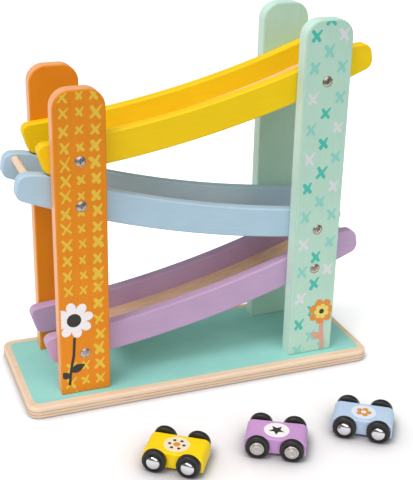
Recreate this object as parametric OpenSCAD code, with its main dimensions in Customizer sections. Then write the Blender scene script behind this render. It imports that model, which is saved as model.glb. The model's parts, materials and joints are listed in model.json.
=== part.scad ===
// Wooden click-clack car track: a base, two pairs of posts, three curved ramps and three cars.
// Millimetres. The origin is on the base's underside, below the middle of the track. +X runs along
// the base to the tall posts, -Y is the front, +Z is up, and the cars stand on the floor in front.

/* [Base] */
// Length of the base plate, left to right
base_length = 298; // [280:1:360]
// Width of the base plate, front to back
base_width = 116; // [104:1:150]
// Thickness of the base plate
base_thickness = 10; // [8:0.5:16]
// Radius of the base plate's corners
base_corner_radius = 9.5; // [4:0.5:30]
// Distance of the base plate's middle from the middle of the track
base_offset = 1.1; // [-5:0.1:5]

/* [Posts] */
// Width of a post, left to right
post_width = 40; // [32:1:48]
// Thickness of a post, front to back
post_thickness = 13; // [10:0.5:18]
// Distance between the centre lines of the left and right posts
post_spacing = 198; // [180:1:210]
// Height of the left posts above the base
left_post_height = 247.5; // [242:0.5:300]
// Height of the right posts above the base
right_post_height = 286; // [270:1:330]
// Radius of the two top corners of a post
post_top_radius = 14; // [4:1:16]

/* [Ramps] */
// Radius of the rails' top edge, which sags in the middle
arc_radius = 840; // [700:10:1200]
// Distance of the arc's centre from the middle of the track, towards the ramp's low end
arc_offset = 185; // [165:1:205]
// Height of the lowest ramp's rail tops over the floor, at the middle of the track
lower_ramp_height = 74; // [68:0.5:80]
// Step in height from one ramp to the next
ramp_spacing = 79.5; // [74:0.5:84]
// Height of a rail, square to its arc
rail_depth = 24.4; // [21:0.2:30]
// Thickness of a rail, front to back
rail_thickness = 10; // [8:0.5:14]
// Clear width between the two rails of a ramp
channel_width = 44; // [42.5:0.5:50]
// Distance of a rail's low tip from the middle of the track
low_end_reach = 127.5; // [120:0.5:140]
// How far the low end leans back, from its top corner's centre to its bottom corner's
low_end_undercut = 4.5; // [0:0.5:10]
// Radius of the low end's top corner
low_top_corner = 6; // [1:0.5:8]
// Radius of the low end's bottom corner
low_bottom_corner = 7; // [1:0.5:8]
// Radius of the bend by which a rail's top edge levels off at its high end
shoulder_radius = 60; // [50:1:80]
// Length of the bend, from its start to the rail's high end
shoulder_length = 29.7; // [28:0.1:33]
// Height of the bend over the rail's arc at its start, so that it meets the arc further along
shoulder_lift = 0.3; // [0.2:0.1:0.5]
// Distance of a rail's high end from the middle of the track
high_end_reach = 145.2; // [142:0.2:152]
// How far the high end leans out, from its top corner to its bottom corner
high_end_lean = 1; // [0:0.2:3]
// Radius of the high end's top corner
high_top_corner = 8; // [3:0.5:8.5]
// Radius of the high end's bottom corner
high_bottom_corner = 8; // [3:0.5:10]

/* [Ramp floors] */
// Thickness of a ramp's plywood floor
floor_thickness = 4; // [3:0.5:5]
// Wood left in a rail below the floor
floor_lip = 3.4; // [2:0.2:5]
// Depth of the groove that holds the floor's edge in each rail
groove_depth = 3; // [2:0.5:4]
// Distance of the floor's low end from the middle of the track, which leaves the car's drop
floor_low_reach = 75; // [65:1:85]
// Distance of the floor's high end from the middle of the track
floor_high_reach = 124; // [110:1:128]

/* [Stop dowels] */
// Diameter of the dowel across a ramp's high end
dowel_diameter = 6; // [4:0.5:7]
// Distance from a rail's high end back to the dowel's centre
dowel_setback = 11; // [8:0.2:16]
// Distance from the arc of a rail's top edge down to the dowel's centre
dowel_drop = 7.8; // [7:0.1:9]
// Depth of the dowel's bore in each rail
dowel_seat = 6; // [4:0.5:7]

/* [Screws] */
// Diameter of a screw's shank
screw_diameter = 4; // [3:0.5:5]
// Diameter of a screw's head
screw_head_diameter = 8; // [6.5:0.5:10]
// Height of the head's straight rim
screw_rim = 0.8; // [0.5:0.1:1.2]
// Height of the head's dome over its rim
screw_dome = 1.1; // [0.6:0.1:1.6]
// Distance from a rail's top edge down to its screws
rail_screw_drop = 13; // [11:0.2:13.4]
// Depth of the recess that a rail screw's head sits in
screw_recess = 1.2; // [0.6:0.1:2]
// Length of a rail screw inside the rail
rail_screw_bite = 6.5; // [4:0.5:7]
// Depth of the recess that a base screw's head sits in
base_screw_recess = 3; // [2.6:0.2:5]
// Length of a base screw inside the post
base_screw_bite = 20; // [12:1:30]
// Distance between the two base screws of a post
base_screw_spacing = 20; // [14:1:24]
// Length of each slot of the cross in a screw's head
cross_length = 4.6; // [3:0.2:5]
// Width of each slot of the cross
cross_width = 1.1; // [0.6:0.1:1.5]
// Depth of the cross
cross_depth = 1.2; // [0.6:0.1:1.5]

/* [Cars] */
// Length of a car's body
car_length = 45.6; // [40:0.2:52]
// Width of a car's body
car_width = 24.8; // [20:0.2:25.4]
// Height of a car's body
car_height = 13; // [11:0.5:18]
// Gap from the floor to a car's body
car_clearance = 2; // [1:0.5:4]
// Radius of the body's top ends
car_top_radius = 5; // [2:0.5:6]
// Radius of the body's bottom ends
car_bottom_radius = 1.5; // [0.5:0.5:3]
// Distance between a car's axles
wheelbase = 25.4; // [22:0.2:32]

/* [Wheels] */
// Diameter of a wheel
wheel_diameter = 18; // [15:0.5:21]
// Thickness of a wheel
wheel_thickness = 5; // [4:0.5:5.5]
// Radius of a wheel's edges
wheel_edge = 1.1; // [0.5:0.1:1.8]
// Gap from a car's body to a wheel
wheel_gap = 0.5; // [0.3:0.1:0.9]
// Outer diameter of the step in a wheel's outer face
step_outer_diameter = 14.2; // [12:0.2:14.6]
// Inner diameter of the step in a wheel's outer face
step_inner_diameter = 11.4; // [10.8:0.2:11.8]
// Depth of the step in a wheel's outer face
step_depth = 0.8; // [0.3:0.1:1.5]
// Diameter of an axle
axle_diameter = 3; // [2:0.2:4]
// Diameter of the caps on an axle's ends
cap_diameter = 10.4; // [8:0.2:10.6]
// Height of an axle cap's straight rim
cap_rim = 0.7; // [0.4:0.1:1]
// Height of a domed cap over its rim
dome_height = 2; // [1:0.1:2.4]
// Thickness of the flat cap's raised middle
rivet_step = 0.6; // [0.3:0.1:1]
// Diameter of the flat cap's raised middle
rivet_diameter = 7.6; // [5:0.2:7.8]
// Diameter of the dimple in the flat cap
dimple_diameter = 2.4; // [1:0.2:3]
// Depth of the dimple in the flat cap
dimple_depth = 0.4; // [0.2:0.1:0.5]

/* [Where the cars stand] */
// Place of the yellow car along the base
yellow_car_x = -58; // [-62:1:-54]
// Distance of the yellow car's middle from the base's front edge
yellow_car_gap = 86.4; // [80:0.2:100]
// Heading of the yellow car, in degrees
yellow_car_heading = -34.6; // [-38:0.2:-30]
// Place of the purple car along the base
purple_car_x = 18.6; // [16:0.2:22]
// Distance of the purple car's middle from the base's front edge
purple_car_gap = 93.2; // [86:0.2:106]
// Heading of the purple car, in degrees
purple_car_heading = 150.4; // [146:0.2:154]
// Place of the blue car along the base
blue_car_x = 92.4; // [90:0.2:110]
// Distance of the blue car's middle from the base's front edge
blue_car_gap = 92.5; // [86:0.5:106]
// Heading of the blue car, in degrees
blue_car_heading = -34; // [-38:1:-30]

/* [Fits] */
// Play of dowels and floors in their seats, on each side
glue_clearance = 0.1; // [0.05:0.05:0.2]
// Play of screws in their holes, on each side
screw_clearance = 0.15; // [0.05:0.05:0.3]
// Play of screw heads in their recesses, on each side
head_clearance = 0.4; // [0.2:0.1:0.6]
// Running play of an axle in its bore, on each side
axle_clearance = 0.08; // [0.02:0.02:0.1]
// Play of wheels and caps on their axle, on each side
press_clearance = 0.02; // [0.01:0.01:0.05]

/* [Hidden] */
// Smoothness of small rounds and of the long arcs
$fn = 64;
arc_steps = 1440;
// How far a cut runs past the face that it opens
overrun = 1;
// How far the sectors that trim the arcs reach past them
sector_share = 1.1;
shoulder_share = 1.5;

orange_paint = "#D67F17";
mint_paint = "#AFCDBE";
yellow_paint = "#E9C412";
blue_paint = "#AEC6D6";
purple_paint = "#B99DBB";
plywood = "#E3C5A0";
beech = "#EBCFB8";
nickel = "#B9B6B0";
chrome = "#D4D6D8";
wheel_black = "#2A2829";
yellow_car_paint = "#F7D70F";
purple_car_paint = "#C495CB";
blue_car_paint = "#B4C9DF";

// Half spans of the frame
post_x = post_spacing / 2;
rail_outer_y = channel_width / 2 + rail_thickness;
post_outer_y = rail_outer_y + post_thickness;

// Corner radii that their own pieces can hold
base_corner = min(base_corner_radius, base_width / 2);
post_corner = min(post_top_radius, post_width / 2);

// The ramps' arc, in a plane where x runs to the ramp's high end and y is up from the rail tops at
// the middle of the track
arc_rise = sqrt(arc_radius * arc_radius - arc_offset * arc_offset);
floor_drop = rail_depth - floor_lip - floor_thickness;
far_radius = (arc_radius + rail_depth) * sector_share;
near_radius = arc_radius / sector_share;

function arc_angle(x, drop) = asin((arc_offset + x) / (arc_radius + drop));
function arc_point(radius, angle) = [radius * sin(angle) - arc_offset, arc_rise - radius * cos(angle)];
function arc_height(x, drop) = arc_point(arc_radius + drop, arc_angle(x, drop))[1];

top_corner_x = low_top_corner - low_end_reach;
top_corner_angle = arc_angle(top_corner_x, low_top_corner);
bottom_corner_drop = rail_depth - low_bottom_corner;
bottom_corner_angle = arc_angle(top_corner_x + low_end_undercut, bottom_corner_drop);
shoulder_angle = arc_angle(high_end_reach - shoulder_length, 0);
shoulder_centre = arc_point(arc_radius + shoulder_radius - shoulder_lift, shoulder_angle);
high_top_x = high_end_reach - high_end_lean - high_top_corner;
high_top_span = high_top_x - shoulder_centre[0];
high_top_rise = sqrt(pow(shoulder_radius - high_top_corner, 2) - high_top_span * high_top_span);
high_top = [high_top_x, shoulder_centre[1] + high_top_rise];
high_bottom_drop = rail_depth - high_bottom_corner;
high_bottom_angle = arc_angle(high_end_reach - high_bottom_corner, high_bottom_drop);
high_bottom = arc_point(arc_radius + high_bottom_drop, high_bottom_angle);
dowel_angle = arc_angle(high_end_reach - dowel_setback, dowel_drop);
floor_low_angle = arc_angle(-floor_low_reach, floor_drop);
floor_high_angle = arc_angle(floor_high_reach, floor_drop);

// Each ramp's name, its step from the lowest one, the side of its high end and its paint
ramps = [
  ["upper", 2, 1, yellow_paint],
  ["middle", 1, -1, blue_paint],
  ["lower", 0, 1, purple_paint]
];
function ramp_height(ramp) = lower_ramp_height + ramp[1] * ramp_spacing;
function rail_screw_height(ramp, side) =
  ramp_height(ramp) + arc_height(side * ramp[2] * post_x, rail_screw_drop);

// Each post's name, its side along the base, its face to the front or the back, height and paint
posts = [
  ["front_left", -1, -1, left_post_height, orange_paint],
  ["back_left", -1, 1, left_post_height, orange_paint],
  ["front_right", 1, -1, right_post_height, mint_paint],
  ["back_right", 1, 1, right_post_height, mint_paint]
];

// The two faces of the track, front and back
faces = [["front", -1], ["back", 1]];

// Each car's name, its place, its heading and its paint
cars = [
  ["yellow", [yellow_car_x, -base_width / 2 - yellow_car_gap, 0], yellow_car_heading, yellow_car_paint],
  ["purple", [purple_car_x, -base_width / 2 - purple_car_gap, 0], purple_car_heading, purple_car_paint],
  ["blue", [blue_car_x, -base_width / 2 - blue_car_gap, 0], blue_car_heading, blue_car_paint]
];
// A car's two axles along its body, and its two sides
axles = [["front", 1], ["rear", -1]];
sides = [["left", 1], ["right", -1]];
axle_height = wheel_diameter / 2;
wheel_inner_y = car_width / 2 + wheel_gap;
wheel_outer_y = wheel_inner_y + wheel_thickness;

// An outline in the plane of X and Z, made into a plate that starts at front_y
module upright(front_y, thickness) {
  translate([0, front_y + thickness, 0]) rotate([90, 0, 0]) linear_extrude(height = thickness) children();
}

// What is drawn for the front face, turned over for the back
module on_face(face) {
  if (face > 0) mirror([0, 1, 0]) children();
  else children();
}

// An outline in the ramp's own plane, put at the ramp's height with its high end on its side
module ramp_plane(ramp) {
  translate([0, ramp_height(ramp)]) {
    if (ramp[2] < 0) mirror([1, 0]) children();
    else children();
  }
}

// A ring about the arc's centre
module arc_band(inner_radius, outer_radius) {
  translate([-arc_offset, arc_rise]) difference() {
    circle(r = outer_radius, $fn = arc_steps);
    circle(r = inner_radius, $fn = arc_steps);
  }
}

// The direction from a round's centre, square to the line that touches two rounds on the right of
// the way from the first to the second
function touching(first, first_radius, second, second_radius) =
  let (
    gap = norm(second - first),
    along = (second - first) / gap,
    turn = (first_radius - second_radius) / gap
  ) along * turn + [along[1], -along[0]] * sqrt(1 - turn * turn);

// A rail's side: a band of the arc with a low end that leans back and a high end whose top levels off,
// all four corners rounded
module rail_outline() {
  top_corner = arc_point(arc_radius + low_top_corner, top_corner_angle);
  bottom_corner = arc_point(arc_radius + bottom_corner_drop, bottom_corner_angle);
  outward = touching(top_corner, low_top_corner, bottom_corner, low_bottom_corner);
  ahead = touching(high_bottom, high_bottom_corner, high_top, high_top_corner);
  shoulder_top = shoulder_centre + (high_top - shoulder_centre) * shoulder_share;
  sideways = [2 * shoulder_radius, 0];
  difference() {
    intersection() {
      arc_band(arc_radius, arc_radius + rail_depth);
      polygon([
        arc_point(near_radius, top_corner_angle), top_corner, top_corner + outward * low_top_corner,
        bottom_corner + outward * low_bottom_corner, bottom_corner,
        arc_point(far_radius, bottom_corner_angle), arc_point(far_radius, high_bottom_angle),
        high_bottom, high_bottom + ahead * high_bottom_corner,
        high_top + ahead * high_top_corner, high_top, shoulder_top
      ]);
    }
    // What stands over the bend that levels the top edge off
    difference() {
      polygon([
        arc_point(near_radius, shoulder_angle), shoulder_centre,
        shoulder_centre + sideways, arc_point(near_radius, shoulder_angle) + sideways
      ]);
      translate(shoulder_centre) circle(r = shoulder_radius, $fn = arc_steps);
    }
  }
  translate(top_corner) circle(r = low_top_corner);
  translate(bottom_corner) circle(r = low_bottom_corner);
  translate(high_top) circle(r = high_top_corner);
  translate(high_bottom) circle(r = high_bottom_corner);
}

// A floor's side, or its groove where play is more than zero
module floor_outline(play) {
  end_play = play / arc_radius * 180 / PI;
  low = floor_low_angle - end_play;
  high = floor_high_angle + end_play;
  intersection() {
    arc_band(arc_radius + floor_drop - play, arc_radius + floor_drop + floor_thickness + play);
    polygon([
      arc_point(near_radius, low), arc_point(far_radius, low),
      arc_point(far_radius, high), arc_point(near_radius, high)
    ]);
  }
}

// The stop dowel's round, in the ramp's own plane
module dowel_outline(play) {
  translate(arc_point(arc_radius + dowel_drop, dowel_angle)) circle(d = dowel_diameter + 2 * play);
}

// A post's front, standing on zero, with two round top corners
module post_outline(height) {
  translate([-post_width / 2, 0]) square([post_width, height - post_corner]);
  translate([post_corner - post_width / 2, 0]) square([post_width - 2 * post_corner, height]);
  for (side = [-1, 1])
    translate([side * (post_width / 2 - post_corner), height - post_corner]) circle(r = post_corner);
}

// A hole from a screw's seat, along +Z, with the recess of its head below the seat
module screw_hole(length, recess) {
  translate([0, 0, -overrun]) cylinder(d = screw_diameter + 2 * screw_clearance, h = length + overrun);
  translate([0, 0, -recess - overrun])
    cylinder(d = screw_head_diameter + 2 * head_clearance, h = recess + overrun);
}

// A screw whose head seats on zero and whose shank runs along +Z
module screw(length) {
  head_radius = screw_head_diameter / 2;
  dome_radius = (head_radius * head_radius + screw_dome * screw_dome) / (2 * screw_dome);
  difference() {
    union() {
      translate([0, 0, -screw_rim]) cylinder(d = screw_head_diameter, h = screw_rim);
      translate([0, 0, -screw_rim]) rotate_extrude() intersection() {
        translate([0, dome_radius - screw_dome]) circle(r = dome_radius);
        translate([0, -screw_dome]) square([head_radius, screw_dome]);
      }
      translate([0, 0, -screw_rim]) cylinder(d = screw_diameter, h = length + screw_rim);
    }
    for (turn = [0, 90])
      rotate([0, 0, turn])
        translate([-cross_length / 2, -cross_width / 2, -screw_rim - screw_dome - overrun])
          cube([cross_length, cross_width, cross_depth + overrun]);
  }
}

// Every rail screw's seat on one side of the front face, heading into the rail
module at_rail_screws(side) {
  for (ramp = ramps)
    translate([side * post_x, screw_recess - post_outer_y, rail_screw_height(ramp, side)])
      rotate([-90, 0, 0]) children();
}

// The seats of the base screws of one front post, heading up
module at_base_screws(side) {
  for (place = [-1, 1]) {
    x = side * post_x + place * base_screw_spacing / 2;
    translate([x, post_thickness / 2 - post_outer_y, base_screw_recess]) children();
  }
}

rail_screw_length = post_thickness - screw_recess + rail_screw_bite;
base_screw_length = base_thickness - base_screw_recess + base_screw_bite;

module base_plate() {
  inset_length = base_length - 2 * base_corner;
  inset_width = base_width - 2 * base_corner;
  color(plywood) difference() {
    translate([base_offset, 0, 0]) linear_extrude(height = base_thickness) {
      square([base_length, inset_width], center = true);
      square([inset_length, base_width], center = true);
      for (x = [-1, 1], y = [-1, 1])
        translate([x * inset_length / 2, y * inset_width / 2]) circle(r = base_corner);
    }
    for (face = faces, side = [-1, 1])
      on_face(face[1]) at_base_screws(side) screw_hole(base_screw_length, base_screw_recess);
  }
}

module post(post) {
  color(post[4]) on_face(post[2]) difference() {
    upright(-post_outer_y, post_thickness)
      translate([post[1] * post_x, base_thickness]) post_outline(post[3]);
    at_rail_screws(post[1]) screw_hole(rail_screw_length + overrun, screw_recess);
    at_base_screws(post[1]) screw_hole(base_screw_length + overrun, base_screw_recess);
  }
}

module rail(ramp, face) {
  color(ramp[3]) on_face(face) difference() {
    upright(-rail_outer_y, rail_thickness) ramp_plane(ramp) rail_outline();
    upright(-channel_width / 2 - groove_depth - glue_clearance, groove_depth + glue_clearance + overrun)
      ramp_plane(ramp) floor_outline(glue_clearance);
    upright(-channel_width / 2 - dowel_seat - glue_clearance, dowel_seat + glue_clearance + overrun)
      ramp_plane(ramp) dowel_outline(glue_clearance);
    for (side = [-1, 1]) at_rail_screws(side) screw_hole(rail_screw_length + screw_clearance, screw_recess);
  }
}

module ramp_floor(ramp) {
  width = channel_width + 2 * groove_depth;
  color(plywood) upright(-width / 2, width) ramp_plane(ramp) floor_outline(0);
}

module stop_dowel(ramp) {
  length = channel_width + 2 * dowel_seat;
  color(beech) upright(-length / 2, length) ramp_plane(ramp) dowel_outline(0);
}

module post_screws(face) {
  color(nickel) on_face(face) for (side = [-1, 1]) at_rail_screws(side) screw(rail_screw_length);
}

module base_screws() {
  color(nickel) for (face = faces, side = [-1, 1])
    on_face(face[1]) at_base_screws(side) screw(base_screw_length);
}

// A car's own frame: x to its front, y to its left, on the floor
module car_frame(car) {
  translate(car[1]) rotate([0, 0, car[2]]) children();
}

// The centre of one of a car's axles
module at_axle(car, axle) {
  car_frame(car) translate([axle * wheelbase / 2, 0, axle_height]) children();
}

// What is drawn along +Z, put on an axle and turned to one side of the car
module on_axle_side(car, axle, side, distance) {
  at_axle(car, axle) translate([0, side * distance, 0]) rotate([-90 * side, 0, 0]) children();
}

// A body's side, with round ends that are larger at the top
module car_outline() {
  bottom = car_clearance;
  top = car_clearance + car_height;
  half = car_length / 2;
  translate([-half, bottom + car_bottom_radius])
    square([car_length, car_height - car_bottom_radius - car_top_radius]);
  translate([car_bottom_radius - half, bottom])
    square([car_length - 2 * car_bottom_radius, car_height - car_top_radius]);
  translate([car_top_radius - half, bottom])
    square([car_length - 2 * car_top_radius, car_height]);
  for (end = [-1, 1]) {
    translate([end * (half - car_bottom_radius), bottom + car_bottom_radius]) circle(r = car_bottom_radius);
    translate([end * (half - car_top_radius), top - car_top_radius]) circle(r = car_top_radius);
  }
}

module car_body(car) {
  bore = axle_diameter + 2 * axle_clearance;
  color(car[3]) difference() {
    car_frame(car) upright(-car_width / 2, car_width) car_outline();
    for (axle = axles)
      at_axle(car, axle[1]) rotate([90, 0, 0])
        cylinder(d = bore, h = car_width + 2 * overrun, center = true);
  }
}

module car_axle(car, axle) {
  length = 2 * (wheel_outer_y + cap_rim - press_clearance);
  color(nickel) at_axle(car, axle) rotate([90, 0, 0])
    cylinder(d = axle_diameter, h = length, center = true);
}

module wheel(car, axle, side) {
  radius = wheel_diameter / 2;
  bore_radius = axle_diameter / 2 + press_clearance;
  color(wheel_black) on_axle_side(car, axle, side, wheel_inner_y) rotate_extrude() difference() {
    union() {
      translate([bore_radius, 0]) square([radius - wheel_edge - bore_radius, wheel_thickness]);
      translate([bore_radius, wheel_edge]) square([radius - bore_radius, wheel_thickness - 2 * wheel_edge]);
      for (y = [wheel_edge, wheel_thickness - wheel_edge])
        translate([radius - wheel_edge, y]) circle(r = wheel_edge);
    }
    translate([step_inner_diameter / 2, wheel_thickness - step_depth])
      square([(step_outer_diameter - step_inner_diameter) / 2, step_depth + overrun]);
  }
}

// The bore in the back of a cap that takes the axle's end
module cap_bore() {
  translate([0, 0, -overrun]) cylinder(d = axle_diameter + 2 * press_clearance, h = cap_rim + overrun);
}

module domed_cap(car, axle) {
  cap_radius = cap_diameter / 2;
  dome_radius = (cap_radius * cap_radius + dome_height * dome_height) / (2 * dome_height);
  color(chrome) on_axle_side(car, axle, -1, wheel_outer_y) difference() {
    rotate_extrude() {
      square([cap_radius, cap_rim]);
      translate([0, cap_rim]) intersection() {
        translate([0, dome_height - dome_radius]) circle(r = dome_radius);
        square([cap_radius, dome_height]);
      }
    }
    cap_bore();
  }
}

module flat_cap(car, axle) {
  color(nickel) on_axle_side(car, axle, 1, wheel_outer_y) difference() {
    union() {
      cylinder(d = cap_diameter, h = cap_rim);
      cylinder(d = rivet_diameter, h = cap_rim + rivet_step);
    }
    translate([0, 0, cap_rim + rivet_step - dimple_depth])
      cylinder(d = dimple_diameter, h = dimple_depth + overrun);
    cap_bore();
  }
}

base_plate();
for (post = posts)
  post(post);
for (ramp = ramps, face = faces)
  rail(ramp, face[1]);
for (ramp = ramps) {
  ramp_floor(ramp);
  stop_dowel(ramp);
}
for (face = faces)
  post_screws(face[1]);
base_screws();
for (car = cars) {
  car_body(car);
  for (axle = axles) {
    car_axle(car, axle[1]);
    for (side = sides)
      wheel(car, axle[1], side[1]);
    domed_cap(car, axle[1]);
    flat_cap(car, axle[1]);
  }
}
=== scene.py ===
import json
import math
import random

import bmesh
import bpy
from mathutils import Matrix, Vector


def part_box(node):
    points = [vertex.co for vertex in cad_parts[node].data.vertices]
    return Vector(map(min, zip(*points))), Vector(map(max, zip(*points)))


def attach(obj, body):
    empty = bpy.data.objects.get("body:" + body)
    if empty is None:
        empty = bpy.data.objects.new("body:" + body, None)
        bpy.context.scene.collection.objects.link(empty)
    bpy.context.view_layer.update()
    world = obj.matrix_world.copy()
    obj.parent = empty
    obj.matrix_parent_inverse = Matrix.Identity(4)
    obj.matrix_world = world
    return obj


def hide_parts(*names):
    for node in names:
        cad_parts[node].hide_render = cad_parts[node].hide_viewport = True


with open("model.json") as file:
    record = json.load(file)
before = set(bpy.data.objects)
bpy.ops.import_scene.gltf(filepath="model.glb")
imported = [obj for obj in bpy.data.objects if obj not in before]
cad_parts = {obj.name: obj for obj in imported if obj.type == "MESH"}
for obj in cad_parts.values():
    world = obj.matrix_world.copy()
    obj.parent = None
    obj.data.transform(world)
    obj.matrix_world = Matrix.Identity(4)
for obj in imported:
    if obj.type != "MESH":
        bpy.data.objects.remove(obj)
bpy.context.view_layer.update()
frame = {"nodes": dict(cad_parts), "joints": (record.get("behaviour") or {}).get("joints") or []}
joints = {joint["name"]: joint for joint in frame["joints"]}

# Millimetres here, and metres in the meshes
MM = 0.001

# Rounding that sanding and the paint leave on each kind of edge
BASE_EDGE = 1.8
POST_EDGE = 1.2
RAIL_EDGE = 1.5
FLOOR_EDGE = 0.4
CAR_EDGE = 1.3

# The base and the posts, where the frame's boxes don't say it
BASE_CORNER = 9.5
PANEL_END_MARGIN = 5.6
PANEL_SIDE_MARGIN = 7.0
PANEL_CORNER = 5.0
POST_CORNER = 14.0
SCREW_DROP = 13.0
RECESS_RADIUS = 4.4
RECESS_DEPTH = 1.2
RECESS_SIDES = 40

# The ramps' arc, as the rails have it: x runs to a ramp's high end from the middle of the track
ARC_RADIUS = 840.0
ARC_OFFSET = 185.0
ARC_RISE = math.sqrt(ARC_RADIUS ** 2 - ARC_OFFSET ** 2)
LOWER_RAMP_HEIGHT = 74.0
RAMP_STEP = 79.5
RAIL_DEPTH = 24.4
LOW_REACH = 127.5
LOW_LEAN = 4.5
LOW_TOP_CORNER = 6.0
LOW_BOTTOM_CORNER = 7.0
SHOULDER_RADIUS = 60.0
SHOULDER_REACH = 115.5
SHOULDER_LIFT = 0.3
HIGH_REACH = 145.2
HIGH_LEAN = 1.0
HIGH_TOP_CORNER = 8.0
HIGH_BOTTOM_CORNER = 8.0
FLOOR_DROP = 17.0
FLOOR_THICKNESS = 4.0
FLOOR_LOW_REACH = 75.0
FLOOR_HIGH_REACH = 124.0

# The cars
CAR_LENGTH = 45.6
CAR_WIDTH = 24.8
CAR_LOW = 2.0
CAR_ROOF = 15.0
CAR_TOP_CORNER = 5.0
CAR_BOTTOM_CORNER = 1.5
WHEEL_INNER = 12.9
WHEEL_OUTER = 17.9
DISC_RADIUS = 9.5


# Materials

def srgb(code):
    """A hex colour as Blender's linear red, green, blue and alpha."""
    parts = [int(code[i:i + 2], 16) / 255 for i in (1, 3, 5)]
    return [c / 12.92 if c <= 0.04045 else ((c + 0.055) / 1.055) ** 2.4 for c in parts] + [1.0]


def add(tree, kind, inputs=None, **settings):
    """Adds a node with its settings, and with values or links on its inputs."""
    made = tree.nodes.new(kind)
    for key, value in settings.items():
        setattr(made, key, value)
    for key, value in (inputs or {}).items():
        if isinstance(value, bpy.types.NodeSocket):
            tree.links.new(value, made.inputs[key])
        else:
            made.inputs[key].default_value = value
    return made


def surface(name, **sockets):
    """A new material: itself, its tree, its shader, and the object's coordinates."""
    made = bpy.data.materials.new(name)
    made.use_nodes = True
    shader = made.node_tree.nodes["Principled BSDF"]
    for key, value in sockets.items():
        shader.inputs[key].default_value = value
    place = add(made.node_tree, "ShaderNodeTexCoord").outputs["Object"]
    return made, made.node_tree, shader, place


def dress(tree, shader, **links):
    """Links sockets to the shader's inputs of those names."""
    for key, socket in links.items():
        tree.links.new(socket, shader.inputs[key.replace("_", " ")])


def per_metre(millimetres):
    """A noise scale whose features are about that many millimetres across."""
    return 1.0 / (millimetres * MM)


def along_grain(axis, squeeze):
    """A texture's scale on each axis, drawn out along the grain's own axis."""
    return [squeeze if letter == axis else 1.0 for letter in "XYZ"]


def satin_paint(name, colour, deep, grain):
    """Water-based satin paint, sprayed on sanded beech: one even colour, a little deeper where the wood
    drank it, over faint grain lines about 1.2 mm apart, with an eggshell sheen that comes and goes."""
    made, tree, shader, place = surface(name, **{"IOR": 1.5, "Specular IOR Level": 0.3})
    drawn = add(tree, "ShaderNodeMapping", {"Vector": place, "Scale": along_grain(grain, 0.06)}).outputs[0]
    line = add(tree, "ShaderNodeTexNoise",
               {"Vector": drawn, "Scale": per_metre(1.2), "Detail": 3.0, "Roughness": 0.55}).outputs[0]
    cloud = add(tree, "ShaderNodeTexNoise",
                {"Vector": place, "Scale": per_metre(26), "Detail": 2.0}).outputs[0]
    both = add(tree, "ShaderNodeMath", {0: line, 1: cloud}, operation="MULTIPLY").outputs[0]
    drink = add(tree, "ShaderNodeMapRange", {"Value": both, "From Min": 0.12, "From Max": 0.36}).outputs[0]
    tone = add(tree, "ShaderNodeMix", {0: drink, 6: srgb(deep), 7: srgb(colour)}, data_type="RGBA").outputs[2]
    sheen = add(tree, "ShaderNodeMapRange", {"Value": cloud, "To Min": 0.4, "To Max": 0.56}).outputs[0]
    bump = add(tree, "ShaderNodeBump", {"Height": line, "Strength": 0.05, "Distance": 0.0003}).outputs[0]
    dress(tree, shader, Base_Color=tone, Roughness=sheen, Normal=bump)
    return made


def screen_ink(name, colour, thin):
    """Ink pressed through a screen on to paint: dry, and a touch thinner in specks, drawn 0.9 mm wide,
    where the screen let less of it through."""
    made, tree, shader, place = surface(name, Roughness=0.52, IOR=1.49)
    speck = add(tree, "ShaderNodeTexNoise",
                {"Vector": place, "Scale": per_metre(0.9), "Detail": 4.0, "Roughness": 0.7}).outputs[0]
    cover = add(tree, "ShaderNodeMapRange", {"Value": speck, "From Min": 0.3, "From Max": 0.52}).outputs[0]
    tone = add(tree, "ShaderNodeMix", {0: cover, 6: srgb(thin), 7: srgb(colour)}, data_type="RGBA").outputs[2]
    bump = add(tree, "ShaderNodeBump", {"Height": speck, "Strength": 0.08, "Distance": 0.0002}).outputs[0]
    dress(tree, shader, Base_Color=tone, Normal=bump)
    return made


def birch_veneer(name, pale, ruddy):
    """Sanded and clear-lacquered birch veneer: soft streaks about 3 mm wide along the board, with short
    pores between them that catch a little light."""
    made, tree, shader, place = surface(name, Roughness=0.5, IOR=1.47)
    drawn = add(tree, "ShaderNodeMapping", {"Vector": place, "Scale": along_grain("X", 0.07)}).outputs[0]
    streak = add(tree, "ShaderNodeTexNoise",
                 {"Vector": drawn, "Scale": per_metre(3), "Detail": 5.0, "Roughness": 0.6}).outputs[0]
    pore = add(tree, "ShaderNodeTexNoise",
               {"Vector": drawn, "Scale": per_metre(0.7), "Detail": 2.0}).outputs[0]
    swing = add(tree, "ShaderNodeMapRange", {"Value": streak, "From Min": 0.3, "From Max": 0.7}).outputs[0]
    tone = add(tree, "ShaderNodeMix", {0: swing, 6: srgb(pale), 7: srgb(ruddy)}, data_type="RGBA").outputs[2]
    bump = add(tree, "ShaderNodeBump", {"Height": pore, "Strength": 0.12, "Distance": 0.0003}).outputs[0]
    dress(tree, shader, Base_Color=tone, Normal=bump)
    return made


# How far a glue line in the plywood wanders, and how far its brown fades out on each side
SEAM_WANDER = 0.4
SEAM_FADE = 0.6


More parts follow.
